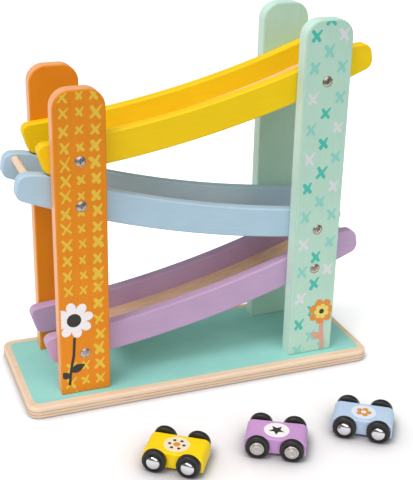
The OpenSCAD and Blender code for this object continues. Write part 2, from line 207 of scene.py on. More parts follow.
def plywood_edge(name, pale, ruddy, glue, middle, core):
    """The sawn and sanded edge of birch plywood: pale long grain over and under a core ply of darker end
    grain, parted by thin brown glue lines that come and go."""
    made, tree, shader, place = surface(name, Roughness=0.55, IOR=1.47)
    drawn = add(tree, "ShaderNodeMapping", {"Vector": place, "Scale": (0.1, 0.1, 1.0)}).outputs[0]
    streak = add(tree, "ShaderNodeTexNoise",
                 {"Vector": drawn, "Scale": per_metre(1.6), "Detail": 4.0, "Roughness": 0.6}).outputs[0]
    pore = add(tree, "ShaderNodeTexNoise",
               {"Vector": place, "Scale": per_metre(0.8), "Detail": 3.0}).outputs[0]
    height = add(tree, "ShaderNodeSeparateXYZ", {"Vector": place}).outputs["Z"]
    wander = add(tree, "ShaderNodeMath", {0: streak, 1: SEAM_WANDER * MM, 2: height},
                 operation="MULTIPLY_ADD").outputs[0]
    rise = add(tree, "ShaderNodeMath", {0: wander, 1: middle * MM}, operation="SUBTRACT").outputs[0]
    off = add(tree, "ShaderNodeMath", {0: rise}, operation="ABSOLUTE").outputs[0]
    past = add(tree, "ShaderNodeMath", {0: off, 1: core / 2 * MM}, operation="SUBTRACT").outputs[0]
    near_seam = add(tree, "ShaderNodeMath", {0: past}, operation="ABSOLUTE").outputs[0]
    seam = add(tree, "ShaderNodeMapRange",
               {"Value": near_seam, "From Max": SEAM_FADE * MM, "To Min": 1.3, "To Max": 0.0}).outputs[0]
    patchy = add(tree, "ShaderNodeMath", {0: seam, 1: streak}, operation="MULTIPLY").outputs[0]
    end_grain = add(tree, "ShaderNodeMath", {0: past, 1: 0.0}, operation="LESS_THAN").outputs[0]
    mottle = add(tree, "ShaderNodeMath", {0: end_grain, 1: 0.55, 2: -0.1},
                 operation="MULTIPLY_ADD").outputs[0]
    share = add(tree, "ShaderNodeMath", {0: mottle, 1: streak}, operation="ADD", use_clamp=True).outputs[0]
    ply_tone = add(tree, "ShaderNodeMix", {0: share, 6: srgb(pale), 7: srgb(ruddy)},
                   data_type="RGBA").outputs[2]
    tone = add(tree, "ShaderNodeMix", {0: patchy, 6: ply_tone, 7: srgb(glue)}, data_type="RGBA").outputs[2]
    bump = add(tree, "ShaderNodeBump", {"Height": pore, "Strength": 0.15, "Distance": 0.0003}).outputs[0]
    dress(tree, shader, Base_Color=tone, Normal=bump)
    return made


def bare_beech(name, pale, fleck, grain):
    """Bare beech, turned or bored: pinkish cream with short dark ray flecks, about 0.8 mm wide."""
    made, tree, shader, place = surface(name, Roughness=0.6, IOR=1.5)
    drawn = add(tree, "ShaderNodeMapping", {"Vector": place, "Scale": along_grain(grain, 0.2)}).outputs[0]
    ray = add(tree, "ShaderNodeTexNoise",
              {"Vector": drawn, "Scale": per_metre(0.8), "Detail": 3.0, "Roughness": 0.6}).outputs[0]
    swing = add(tree, "ShaderNodeMapRange", {"Value": ray, "From Min": 0.34, "From Max": 0.56}).outputs[0]
    tone = add(tree, "ShaderNodeMix", {0: swing, 6: srgb(fleck), 7: srgb(pale)}, data_type="RGBA").outputs[2]
    bump = add(tree, "ShaderNodeBump", {"Height": ray, "Strength": 0.15, "Distance": 0.0003}).outputs[0]
    dress(tree, shader, Base_Color=tone, Normal=bump)
    return made


def plated_steel(name, colour, dull, smooth, rough):
    """Plated steel: bright metal under fine handling scuffs, drawn 0.5 mm wide so that they show."""
    made, tree, shader, place = surface(name, Metallic=1.0)
    scuff = add(tree, "ShaderNodeTexNoise",
                {"Vector": place, "Scale": per_metre(0.5), "Detail": 4.0, "Roughness": 0.65}).outputs[0]
    swing = add(tree, "ShaderNodeMapRange", {"Value": scuff, "From Min": 0.3, "From Max": 0.7}).outputs[0]
    tone = add(tree, "ShaderNodeMix", {0: swing, 6: srgb(colour), 7: srgb(dull)}, data_type="RGBA").outputs[2]
    sheen = add(tree, "ShaderNodeMapRange", {"Value": swing, "To Min": smooth, "To Max": rough}).outputs[0]
    dress(tree, shader, Base_Color=tone, Roughness=sheen)
    return made


def moulded_black(name, colour, dust):
    """Black ABS from a spark-eroded mould: an even fine grain, drawn 0.4 mm wide, that holds a grey dust
    in patches and shines softly."""
    made, tree, shader, place = surface(name, IOR=1.53)
    grain = add(tree, "ShaderNodeTexNoise",
                {"Vector": place, "Scale": per_metre(0.4), "Detail": 2.0}).outputs[0]
    patch = add(tree, "ShaderNodeTexNoise",
                {"Vector": place, "Scale": per_metre(5), "Detail": 3.0}).outputs[0]
    tone = add(tree, "ShaderNodeMix", {0: patch, 6: srgb(colour), 7: srgb(dust)}, data_type="RGBA").outputs[2]
    sheen = add(tree, "ShaderNodeMapRange", {"Value": patch, "To Min": 0.3, "To Max": 0.5}).outputs[0]
    bump = add(tree, "ShaderNodeBump", {"Height": grain, "Strength": 0.1, "Distance": 0.0002}).outputs[0]
    dress(tree, shader, Base_Color=tone, Roughness=sheen, Normal=bump)
    return made


# How near a thing greys the paper with painted shade, and how open to the air the paper is where that
# painted shade is greyest and where it is gone
CLOSE_BY = 30.0
SHUT_IN, OPEN = 0.42, 0.97
# How much a painted glow brightens the paper round the cars and behind them, fading the tower's cast
# shadow, and at which depth that begins and is full
FRONT_LIFT, BACK_LIFT = 0.02, 0.4
LIFT_START, LIFT_FULL = -100.0, -40.0


def paper_sweep(name, white, fibre_white, shade):
    """White studio paper: matt, with a faint fibre, and greyed by painted shade close beside the things that
    stand on it. Behind the cars a painted glow, seen by the camera and in reflections but giving the toy no
    light, brightens it, so that the tower's wide cast shadow stays faint."""
    made, tree, shader, place = surface(name, Roughness=0.95, IOR=1.4)
    fibre = add(tree, "ShaderNodeTexNoise",
                {"Vector": place, "Scale": per_metre(2), "Detail": 3.0}).outputs[0]
    unshaded_paper = add(tree, "ShaderNodeMix", {0: fibre, 6: srgb(white), 7: srgb(fibre_white)},
                data_type="RGBA").outputs[2]
    # Painted shade: ambient occlusion greys the paper's colour close beside things
    open_air = add(tree, "ShaderNodeAmbientOcclusion", {"Distance": CLOSE_BY * MM}, samples=8).outputs["AO"]
    share = add(tree, "ShaderNodeMapRange",
                {"Value": open_air, "From Min": SHUT_IN, "From Max": OPEN}).outputs[0]
    tone = add(tree, "ShaderNodeMix", {0: share, 6: srgb(shade), 7: unshaded_paper}, data_type="RGBA").outputs[2]
    path = add(tree, "ShaderNodeLightPath").outputs
    seen = add(tree, "ShaderNodeMath", {0: path["Is Camera Ray"], 1: path["Is Glossy Ray"]},
               operation="ADD").outputs[0]
    # Painted glow for the camera and reflections only, stronger behind the cars, that fades the tower's cast
    # shadow
    depth = add(tree, "ShaderNodeSeparateXYZ", {"Vector": place}).outputs["Y"]
    painted_glow = add(tree, "ShaderNodeMapRange",
                  {"Value": depth, "From Min": LIFT_START * MM, "From Max": LIFT_FULL * MM,
                   "To Min": FRONT_LIFT, "To Max": BACK_LIFT}).outputs[0]
    lift = add(tree, "ShaderNodeMath", {0: seen, 1: painted_glow}, operation="MULTIPLY").outputs[0]
    dress(tree, shader, Base_Color=tone, Emission_Color=tone, Emission_Strength=lift)
    return made


ORANGE = satin_paint("satin_paint_orange", "#E28812", "#DD8210", "Z")
ORANGE_EDGE = satin_paint("satin_paint_orange_edge", "#EDB080", "#E9A874", "Z")
MINT = satin_paint("satin_paint_mint", "#B5D7C6", "#AFD2C0", "Z")
MINT_EDGE = satin_paint("satin_paint_mint_edge", "#CDEADC", "#C6E4D6", "Z")
YELLOW = satin_paint("satin_paint_yellow", "#F2CB00", "#EEC500", "X")
BLUE = satin_paint("satin_paint_blue", "#AFCADB", "#A9C4D6", "X")
PURPLE = satin_paint("satin_paint_purple", "#BC9FC0", "#B699BB", "X")
CAR_YELLOW = satin_paint("satin_paint_car_yellow", "#F6D500", "#F0CD00", "X")
CAR_PURPLE = satin_paint("satin_paint_car_purple", "#C69ACD", "#BF92C6", "X")
CAR_BLUE = satin_paint("satin_paint_car_blue", "#B6CCE3", "#AFC6DE", "X")
TURQUOISE = satin_paint("screen_coat_turquoise", "#94D3CA", "#8DCCC3", "X")
BASE_VENEER = birch_veneer("birch_veneer_base", "#E6D0B6", "#DBBE9B")
BASE_PLIES = plywood_edge("birch_plywood_edge_base", "#E2CDB5", "#DABEA0", "#6E4E33", 4.9, 2.9)
FLOOR_VENEER = birch_veneer("birch_veneer_floor", "#EBD0B0", "#DDB992")
BORED_WOOD = bare_beech("bored_bare_wood", "#EBD3B8", "#D3B18D", "Y")
DOWEL_BEECH = bare_beech("turned_beech_dowel", "#EED5BC", "#DDBB9A", "Y")
NICKEL = plated_steel("nickel_plated_screw", "#D8D2CA", "#ABA298", 0.22, 0.38)
STEEL = plated_steel("drawn_steel_axle", "#B3B0AB", "#8F8B86", 0.25, 0.4)
CHROME = plated_steel("polished_chrome_cap", "#E4E5E7", "#D2D3D6", 0.06, 0.12)
TURNED_NICKEL = plated_steel("turned_nickel_cap", "#D6D3CF", "#B5B1AC", 0.28, 0.42)
BLACK = moulded_black("moulded_black_wheel", "#131212", "#1E1C1C")
INK_YELLOW = screen_ink("screen_ink_yellow", "#E0BE38", "#DBA92C")
INK_TEAL = screen_ink("screen_ink_teal", "#3DB9A5", "#58BFAC")
INK_PALE_TEAL = screen_ink("screen_ink_pale_teal", "#88CBBE", "#96CDBF")
INK_LILAC = screen_ink("screen_ink_lilac", "#D6D7DA", "#C9D3D0")
INK_WHITE = screen_ink("screen_ink_white", "#EFEBEC", "#E6E0E0")
INK_CREAM = screen_ink("screen_ink_cream", "#EADFC2", "#E2D3AC")
INK_MIST = screen_ink("screen_ink_mist", "#D6E1EC", "#CAD8E6")
INK_BLACK = screen_ink("screen_ink_black", "#2B2727", "#3A3331")
INK_ORANGE = screen_ink("screen_ink_orange", "#D98A2E", "#D49342")
INK_STRAW = screen_ink("screen_ink_straw", "#E3D268", "#DCCB70")
INK_PINK = screen_ink("screen_ink_pink", "#D49C86", "#CFA291")


# Making meshes

# Faces that meet at more than this, in degrees, keep a crisp edge between them
CRISP_ANGLE = 38
# How far a film of ink reaches into the face under it, and how far one layer stands over another
INK_DEPTH = 0.3
INK_LAYER = 0.05

# Plate axes u, v and w in the frame: a lying plate's w is up, and a standing plate's w is to the front
LYING = Matrix.Identity(4)
STANDING = Matrix(((1, 0, 0, 0), (0, 0, -1, 0), (0, 1, 0, 0), (0, 0, 0, 1)))


def mesh_of(name, shape):
    """The finished mesh of a shape in the making."""
    bmesh.ops.recalc_face_normals(shape, faces=shape.faces)
    made = bpy.data.meshes.new(name)
    shape.to_mesh(made)
    shape.free()
    return made


def coat(mesh, materials):
    """Gives a mesh its materials, in the order of its faces' indices."""
    for material in materials:
        mesh.materials.append(material)


def piece(mesh, materials, body, stands_for=(), place=None):
    """A piece of the object from its mesh: crisp flats and smooth rounds, on its body."""
    made = bpy.data.objects.new(mesh.name, mesh)
    bpy.context.scene.collection.objects.link(made)
    if not mesh.materials:
        coat(mesh, materials)
    mesh.polygons.foreach_set("use_smooth", [True] * len(mesh.polygons))
    mesh.set_sharp_from_angle(angle=math.radians(CRISP_ANGLE))
    made.modifiers.new("crisp_flats", "WEIGHTED_NORMAL").keep_sharp = True
    if place:
        made.matrix_world = place
    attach(made, body)
    if stands_for:
        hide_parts(*stands_for)
    return made


def trimmed(mesh, tool, operation):
    """A mesh cut by a tool's mesh, or what of it lies inside the tool. Faces of the cut take the tool's
    material indices."""
    pair = [bpy.data.objects.new(one.name, one) for one in (mesh, tool)]
    for one in pair:
        bpy.context.scene.collection.objects.link(one)
    step = pair[0].modifiers.new("trim", "BOOLEAN")
    step.operation = operation
    step.solver = "EXACT"
    step.object = pair[1]
    made = bpy.data.meshes.new_from_object(pair[0].evaluated_get(bpy.context.evaluated_depsgraph_get()))
    for one in pair:
        bpy.data.objects.remove(one)
    return made


def arc(centre, radius, start, end, steps):
    """Points of a circle from one angle to another, in degrees."""
    turns = [math.radians(start + (end - start) * i / steps) for i in range(steps + 1)]
    return [(centre[0] + radius * math.cos(turn), centre[1] + radius * math.sin(turn)) for turn in turns]


def inset(outline, distance):
    """An outline that runs anticlockwise, moved inwards."""
    moved = []
    for before, here, after in zip(outline[-1:] + outline[:-1], outline, outline[1:] + outline[:1]):
        first = (Vector(here) - Vector(before)).normalized()
        second = (Vector(after) - Vector(here)).normalized()
        inward = Vector((-first.y - second.y, first.x + second.x)).normalized()
        moved.append(Vector(here) + inward * distance / inward.dot(Vector((-first.y, first.x))))
    return [tuple(point) for point in moved]


def plate(name, outline, low, high, edge, axes, steps=4, rounds=1):
    """A plate with rounded edges, from low to high on its third axis. Its two faces have material 0, its
    sides have material 1, and its rounds have the one named."""
    turns = [math.radians(90 * i / steps) for i in range(steps + 1)]
    bottom = [(low + edge * (1 - math.sin(turn)), edge * (1 - math.cos(turn))) for turn in reversed(turns)]
    top = [(high + low - level, shrink) for level, shrink in reversed(bottom)]
    shape = bmesh.new()
    rings = [[shape.verts.new(axes @ Vector((u * MM, v * MM, level * MM))) for u, v in inset(outline, shrink)]
             for level, shrink in bottom + top]
    shape.faces.new(rings[0])
    shape.faces.new(rings[-1])
    for ring, (one, two) in enumerate(zip(rings, rings[1:])):
        for i in range(len(one)):
            side = shape.faces.new((one[i - 1], one[i], two[i], two[i - 1]))
            side.material_index = 1 if ring == steps else rounds
    return mesh_of(name, shape)


def turning(name, profile, segments=56):
    """A turned mesh about Z from (radius, height) points. A closed profile makes a ring."""
    shape = bmesh.new()
    turns = [2 * math.pi * i / segments for i in range(segments)]
    rings = [[shape.verts.new((radius * MM * math.cos(turn), radius * MM * math.sin(turn), height * MM))
              for turn in (turns if radius else turns[:1])] for radius, height in profile]
    for one, two in zip(rings, rings[1:] + (rings[:1] if profile[0][0] else [])):
        for i in range(segments):
            corners = (one[i - 1 if len(one) > 1 else 0], one[i if len(one) > 1 else 0],
                       two[i if len(two) > 1 else 0], two[i - 1 if len(two) > 1 else 0])
            shape.faces.new(dict.fromkeys(corners))
    return mesh_of(name, shape)


def film(name, shapes, face, lift, axes):
    """Printed shapes as a film of ink that stands lift millimetres off a face."""
    shape = bmesh.new()
    for outline in shapes:
        over, under = ([shape.verts.new(axes @ Vector((u * MM, v * MM, level * MM))) for u, v in outline]
                       for level in (face + lift, face - INK_DEPTH))
        shape.faces.new(over)
        shape.faces.new(under[::-1])
        for i in range(len(outline)):
            shape.faces.new((over[i - 1], over[i], under[i], under[i - 1]))
    return mesh_of(name, shape)


def box(node):
    """A node's lowest and highest corner, in millimetres."""
    return [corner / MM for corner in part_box(node)]


# The base

def rounded_rectangle(low, high, end_margin, side_margin, corner, steps=10):
    """The outline of a box's top with rounded corners, inside of margins."""
    left, right = low.x + end_margin + corner, high.x - end_margin - corner
    front, back = low.y + side_margin + corner, high.y - side_margin - corner
    return (arc((right, back), corner, 0, 90, steps) + arc((left, back), corner, 90, 180, steps)
            + arc((left, front), corner, 180, 270, steps) + arc((right, front), corner, 270, 360, steps))


low, high = box("base_plate")
board = plate("base_board", rounded_rectangle(low, high, 0, 0, BASE_CORNER), low.z, high.z, BASE_EDGE, LYING)
piece(board, [BASE_VENEER, BASE_PLIES], "track", ["base_plate"])
panel = rounded_rectangle(low, high, PANEL_END_MARGIN, PANEL_SIDE_MARGIN, PANEL_CORNER)
piece(film("base_printed_panel", [panel], high.z, INK_LAYER, LYING), [TURQUOISE], "track")


# The ramps

def arc_angle(x, drop):
    """Where on the rails' arc, lowered by drop, the place x lies."""
    return math.asin((ARC_OFFSET + x) / (ARC_RADIUS + drop))


def arc_point(drop, angle):
    """A point that far below the rails' top arc, in the ramp's own plane."""
    return Vector(((ARC_RADIUS + drop) * math.sin(angle) - ARC_OFFSET,
                   ARC_RISE - (ARC_RADIUS + drop) * math.cos(angle)))


def arc_run(drop, start, end, steps=48):
    """Points of the rails' arc, lowered by drop, from one angle to another."""
    return [tuple(arc_point(drop, start + (end - start) * i / steps)) for i in range(steps + 1)]


def touching(first, first_radius, second, second_radius):
    """The angle of the line that touches two rounds, as seen from their centres, in degrees: it lies to
    the right of the way from the first to the second."""
    way = second - first
    turn = math.acos((first_radius - second_radius) / way.length)
    return math.degrees(math.atan2(way.y, way.x) - turn)


def rail_outline():
    """A rail's side, anticlockwise from its low end's bottom corner: the underside, the high end, the top
    edge that levels off by a bend, and the low end that leans back."""
    top_x = LOW_TOP_CORNER - LOW_REACH
    top_angle = arc_angle(top_x, LOW_TOP_CORNER)
    top_centre = arc_point(LOW_TOP_CORNER, top_angle)
    bottom_drop = RAIL_DEPTH - LOW_BOTTOM_CORNER
    bottom_angle = arc_angle(top_x + LOW_LEAN, bottom_drop)
    bottom_centre = arc_point(bottom_drop, bottom_angle)
    back = touching(top_centre, LOW_TOP_CORNER, bottom_centre, LOW_BOTTOM_CORNER) + 360
    shoulder_angle = arc_angle(SHOULDER_REACH, 0)
    shoulder = arc_point(SHOULDER_RADIUS - SHOULDER_LIFT, shoulder_angle)
    reach = ARC_RADIUS + SHOULDER_RADIUS - SHOULDER_LIFT
    meeting = (ARC_RADIUS ** 2 + reach ** 2 - SHOULDER_RADIUS ** 2) / (2 * ARC_RADIUS * reach)
    bend_angle = shoulder_angle + math.acos(meeting)
    bend = arc_point(0, bend_angle) - shoulder
    high_top_x = HIGH_REACH - HIGH_LEAN - HIGH_TOP_CORNER
    high_top_rise = math.sqrt((SHOULDER_RADIUS - HIGH_TOP_CORNER) ** 2 - (high_top_x - shoulder.x) ** 2)
    high_top = Vector((high_top_x, shoulder.y + high_top_rise))
    high_drop = RAIL_DEPTH - HIGH_BOTTOM_CORNER
    high_angle = arc_angle(HIGH_REACH - HIGH_BOTTOM_CORNER, high_drop)
    high_bottom = arc_point(high_drop, high_angle)
    ahead = touching(high_bottom, HIGH_BOTTOM_CORNER, high_top, HIGH_TOP_CORNER)
    crest = math.degrees(math.atan2(high_top_rise, high_top_x - shoulder.x))
    return (arc(bottom_centre, LOW_BOTTOM_CORNER, back, math.degrees(bottom_angle) + 270, steps=8)
            + arc_run(RAIL_DEPTH, bottom_angle, high_angle)[1:-1]
            + arc(high_bottom, HIGH_BOTTOM_CORNER, math.degrees(high_angle) - 90, ahead, steps=10)
            + arc(high_top, HIGH_TOP_CORNER, ahead, crest, steps=12)
            + arc(shoulder, SHOULDER_RADIUS, crest, math.degrees(math.atan2(bend.y, bend.x)), steps=10)[1:]
            + arc_run(0, bend_angle, top_angle)[1:-1]
            + arc(top_centre, LOW_TOP_CORNER, math.degrees(top_angle) + 90, back, steps=8))


def floor_outline():
    """A floor's side, bent along the rails' arc."""
    start, end = arc_angle(-FLOOR_LOW_REACH, FLOOR_DROP), arc_angle(FLOOR_HIGH_REACH, FLOOR_DROP)
    return arc_run(FLOOR_DROP + FLOOR_THICKNESS, start, end) + arc_run(FLOOR_DROP, end, start)


def on_ramp(outline, height, side):
    """An outline of the ramp's own plane, put at its height with its high end on its side."""
    moved = [(side * x, height + z) for x, z in outline]
    return moved if side > 0 else moved[::-1]


RAMPS = {"upper": (LOWER_RAMP_HEIGHT + 2 * RAMP_STEP, 1, YELLOW, "yellow_painted_wood"),
         "middle": (LOWER_RAMP_HEIGHT + RAMP_STEP, -1, BLUE, "blue_painted_wood"),
         "lower": (LOWER_RAMP_HEIGHT, 1, PURPLE, "purple_painted_wood")}
for ramp, (height, side, paint, slot) in RAMPS.items():
    for face in ("front", "back"):
        low, high = box(f"{ramp}_{face}_rail")
        piece(plate(f"{ramp}_{face}_rail_board", on_ramp(rail_outline(), height, side), -high.y, -low.y,
                    RAIL_EDGE, STANDING), [paint, paint], "track", [f"{ramp}_{face}_rail"])
    low, high = box(f"{ramp}_floor")
    piece(plate(f"{ramp}_floor_board", on_ramp(floor_outline(), height, side), -high.y, -low.y, FLOOR_EDGE,
                STANDING, steps=2), [FLOOR_VENEER, FLOOR_VENEER], "track", [f"{ramp}_floor"])
    low, high = box(f"{ramp}_stop_dowel")
    radius, reach, chamfer = (high.z - low.z) / 2, (high.y - low.y) / 2, FLOOR_EDGE
    rod = [(0, -reach), (radius - chamfer, -reach), (radius, chamfer - reach), (radius, reach - chamfer),
           (radius - chamfer, reach), (0, reach)]
    piece(turning(f"{ramp}_dowel_rod", rod), [DOWEL_BEECH], "track", [f"{ramp}_stop_dowel"],
          Matrix.Translation((low + high) / 2 * MM) @ Matrix.Rotation(math.radians(90), 4, "X"))


# The posts

def post_outline(low, high):
    """A post's face: square at the foot, with two round corners at the top."""
    left, right, shoulder = low.x + POST_CORNER, high.x - POST_CORNER, high.z - POST_CORNER
    return ([(low.x, low.z), (high.x, low.z)] + arc((right, shoulder), POST_CORNER, 0, 90, steps=14)
            + arc((left, shoulder), POST_CORNER, 90, 180, steps=14))


def screw_places(x):
    """Where the screws of a post at x stand, one for each ramp."""
    return [(x, height + arc_point(SCREW_DROP, arc_angle(side * x, SCREW_DROP)).y)
            for height, side, paint, slot in RAMPS.values()]


# Which of a post's materials the bores have
BORED = 2


def recesses(x, face):
    """The bores for a post's screw heads, about its outer face."""
    rings = [arc(place, RECESS_RADIUS, 0, 360 - 360 / RECESS_SIDES, RECESS_SIDES - 1)
             for place in screw_places(x)]
    shape = bmesh.new()
    for ring in rings:
        ends = [[shape.verts.new(STANDING @ Vector((u * MM, v * MM, level * MM))) for u, v in ring]
                for level in (face - RECESS_DEPTH, face + RECESS_DEPTH)]
        shape.faces.new(ends[0][::-1]).material_index = BORED
        shape.faces.new(ends[1]).material_index = BORED
        for i in range(len(ring)):
            shape.faces.new((ends[0][i - 1], ends[0][i], ends[1][i], ends[1][i - 1])).material_index = BORED
    return mesh_of("recesses", shape)


for name, paint, edge_paint in (("left", ORANGE, ORANGE_EDGE), ("right", MINT, MINT_EDGE)):
    slot = "orange_painted_wood" if name == "left" else "mint_painted_wood"
    for face in ("front", "back"):
        low, high = box(f"{face}_{name}_post")
        outer = -low.y if face == "front" else -high.y
        board = plate(f"{face}_{name}_board", post_outline(low, high), -high.y, -low.y, POST_EDGE, STANDING,
                      rounds=0)
        bores = recesses((low.x + high.x) / 2, outer)
        for mesh in (board, bores):
            coat(mesh, [paint, edge_paint, BORED_WOOD])
        board = trimmed(board, bores, "DIFFERENCE")
        board.name = f"{face}_{name}_board"
        piece(board, [paint, edge_paint, BORED_WOOD], "track", [f"{face}_{name}_post"])
for name in ("front_post_screws", "back_post_screws", "base_screws"):
    frame["nodes"][name].data.materials.clear()
    frame["nodes"][name].data.materials.append(NICKEL)


# The prints on the front posts

# How steep a cross's strokes stand, in degrees, and how much longer and finer its pointed arm is
STROKE_STEEP = 51
LONG_ARM, FINE_TIP = 1.15, 0.55
# The left post's crosses: for each column its place from the post's middle, a cross's size and its stroke's
# width, then the rows' number, top and pitch, and the row below which each stands a little lower
LEFT_COLUMNS = ((-11.9, 11.2, 2.0), (0.0, 8.2, 2.0), (11.7, 11.4, 2.7))
LEFT_ROWS, LEFT_TOP, LEFT_PITCH = 20, 253.2, 12.75
LOW_ROW, LOW_ROW_DROP = 12, 0.6
# How far a cross of the left post strays from its place, sideways and in height
SIDE_STRAY, HEIGHT_STRAY = 0.6, 0.7
# The left post's flower, from the post's middle and from the floor: where it stands, the way its stem takes
# up to it, and the room that the crosses leave for it
LEFT_FLOWER_X, LEFT_FLOWER_Z = -8.5, 75
LEFT_STEM = ((-13.5, 18), (-12, 32), (-9.5, 44), (-8.5, 60))
LEFT_ROOM = (-20, 8, 42, 96)
# The right post's crosses: the rows, with a pair and one between in turn, the top and pitch, how far a pair
# stands to the sides, and a cross's size and its stroke's width
RIGHT_ROWS = range(-1, 23)
RIGHT_TOP, RIGHT_PITCH, RIGHT_SIDE = 284.0, 12.3, 11.7
RIGHT_SIZE, RIGHT_STROKE = 12.2, 2.7
# The right post's flower, as the left one's
RIGHT_FLOWER_X, RIGHT_FLOWER_Z = 9.0, 48
RIGHT_STEM = ((11.5, 12), (11, 22), (9.6, 32), (10.5, 44))
RIGHT_ROOM = (2, 20, 14, 63)
# How far the window that trims the ink reaches to both sides of a post's face, and its own edge
WINDOW_REACH = 2.0
WINDOW_EDGE = POST_EDGE / 4
# The tones of the right post's crosses, which repeat: a pair of each row, then one between the rows
PAIR_TONES = (("teal", "lilac"), ("pale_teal", "pale_teal"), ("lilac", "pale_teal"), ("pale_teal", "lilac"),
              ("lilac", "pale_teal"))
MIDDLE_TONES = ("pale_teal", "teal", "teal", "teal", "teal")


def ellipse(x, z, wide, tall, steps=28):
    """A round or oval spot about x, z."""
    turns = [2 * math.pi * i / steps for i in range(steps)]
    return [(x + wide / 2 * math.cos(turn), z + tall / 2 * math.sin(turn)) for turn in turns]


def brush_cross(rng, x, z, size, width):
    """Two crossed brush strokes as one outline: three blunt arms, and one that runs out to a point."""
    points = []
    lean = rng.uniform(-0.12, 0.12)
    for arm, steep in enumerate((STROKE_STEEP, 180 - STROKE_STEEP, 180 + STROKE_STEEP, 360 - STROKE_STEEP)):
        angle = math.radians(steep) + lean + rng.uniform(-0.08, 0.08)
        along = Vector((math.cos(angle), math.sin(angle)))
        across = Vector((-along.y, along.x))
        reach = size / 2 * rng.uniform(0.9, 1.08) * (1.0 if arm else LONG_ARM)
        tip = width / 2 * rng.uniform(0.85, 1.25) * (1.0 if arm else FINE_TIP)
        points.append(Vector((x, z)) + (along - across) * width / 2)
        for turn in range(-90, 91, 30):
            blunt = math.cos(math.radians(turn)) * rng.uniform(0.6, 1.1)
            points.append(Vector((x, z)) + along * (reach - tip + tip * blunt)
                          + across * tip * math.sin(math.radians(turn)))
    return [tuple(point) for point in points]


def rosette(x, z, radius, petals, waist, lean=0.0, steps=14):
    """A flower's petals as one outline, with so many steps to a petal."""
    points = []
    for i in range(petals * steps):
        turn = 2 * math.pi * i / (petals * steps)
        reach = radius * (waist + (1 - waist) * abs(math.cos(petals * turn / 2)) ** 0.6)
        points.append((x + reach * math.cos(turn + lean), z + reach * math.sin(turn + lean)))
    return points


def leaf(x, z, length, width, lean, steps=12):
    """A pointed leaf that grows from x, z and leans by degrees."""
    shares = [i / steps for i in range(steps + 1)]
    upper = [Vector((length * share, width / 2 * math.sin(math.pi * share ** 0.8))) for share in shares]
    lower = [Vector((point.x, -point.y)) for point in upper[1:-1]]
    turn = Matrix.Rotation(math.radians(lean), 2)
    return [tuple(Vector((x, z)) + turn @ point) for point in lower + upper[::-1]]


def stem(points, width):
    """A thin band along a line of points."""
    sides = ([], [])
    for before, here, after in zip(points[:1] + points, points, points[1:] + points[-1:]):
        way = (Vector(after) - Vector(before)).normalized() * width / 2
        sides[0].append((here[0] + way.y, here[1] - way.x))
        sides[1].append((here[0] - way.y, here[1] + way.x))
    return sides[0] + sides[1][::-1]


def middle_of(post):
    """The x of a post's middle."""
    low, high = box(post)
    return (low.x + high.x) / 2


def printed(name, post, layers):
    """Films of ink on a front post, kept inside its flat face and out of its screw recesses. Each layer
    stands a little over the one before it."""
    low, high = box(post)
    face = -low.y
    window = plate("window", inset(post_outline(low, high), POST_EDGE), face - WINDOW_REACH,
                   face + WINDOW_REACH, WINDOW_EDGE, STANDING, steps=1)
    window = trimmed(window, recesses(middle_of(post), face), "DIFFERENCE")
    for i, (layer, shapes, ink) in enumerate(layers):
        ink_film = trimmed(film(layer, shapes, face, INK_LAYER * (i + 1), STANDING), window, "INTERSECT")
        ink_film.name = f"{name}_{layer}"
        piece(ink_film, [ink], "track")


def crosses(rng, post, places, room):
    """Crosses by tone at places (x from the post's middle, height, size, stroke width, tone) that stay
    clear of the screws and of the flower's room, a box from the post's middle."""
    middle = middle_of(post)
    x_low, x_high, z_low, z_high = room
    made = {}
    for x, z, size, width, tone in places:
        on_screw = any(math.hypot(middle + x - sx, z - sz) < RECESS_RADIUS for sx, sz in screw_places(middle))
        if not on_screw and not (x_low < x < x_high and z_low < z < z_high):
            made.setdefault(tone, []).append(brush_cross(rng, middle + x, z, size, width))
    return made


rng = random.Random(7)
middle = middle_of("front_left_post")
places = []
for row in range(LEFT_ROWS):
    z = LEFT_TOP - LEFT_PITCH * row - LOW_ROW_DROP * max(0, row - LOW_ROW)
    for x, size, width in LEFT_COLUMNS:
        places.append((x + rng.uniform(-SIDE_STRAY, SIDE_STRAY), z + rng.uniform(-HEIGHT_STRAY, HEIGHT_STRAY),
                       size * rng.uniform(0.9, 1.1), width * rng.uniform(0.8, 1.2), "yellow"))
flower_x, flower_z = middle + LEFT_FLOWER_X, LEFT_FLOWER_Z
printed("left_print", "front_left_post", [
    ("crosses", crosses(rng, "front_left_post", places, LEFT_ROOM)["yellow"], INK_YELLOW),
    ("stems", [stem([(middle + x, z) for x, z in LEFT_STEM], width=2.2)], INK_BLACK),
    ("leaves", [leaf(middle - 12.3, 30, length=13, width=7, lean=24),
                leaf(middle - 13, 25, length=9, width=6, lean=148)], INK_BLACK),
    ("petals", [rosette(flower_x, flower_z, radius=15.5, petals=8, waist=0.6, lean=0.2)], INK_WHITE),
    ("heart", [ellipse(flower_x, flower_z, wide=11.5, tall=11.5)], INK_BLACK),
])

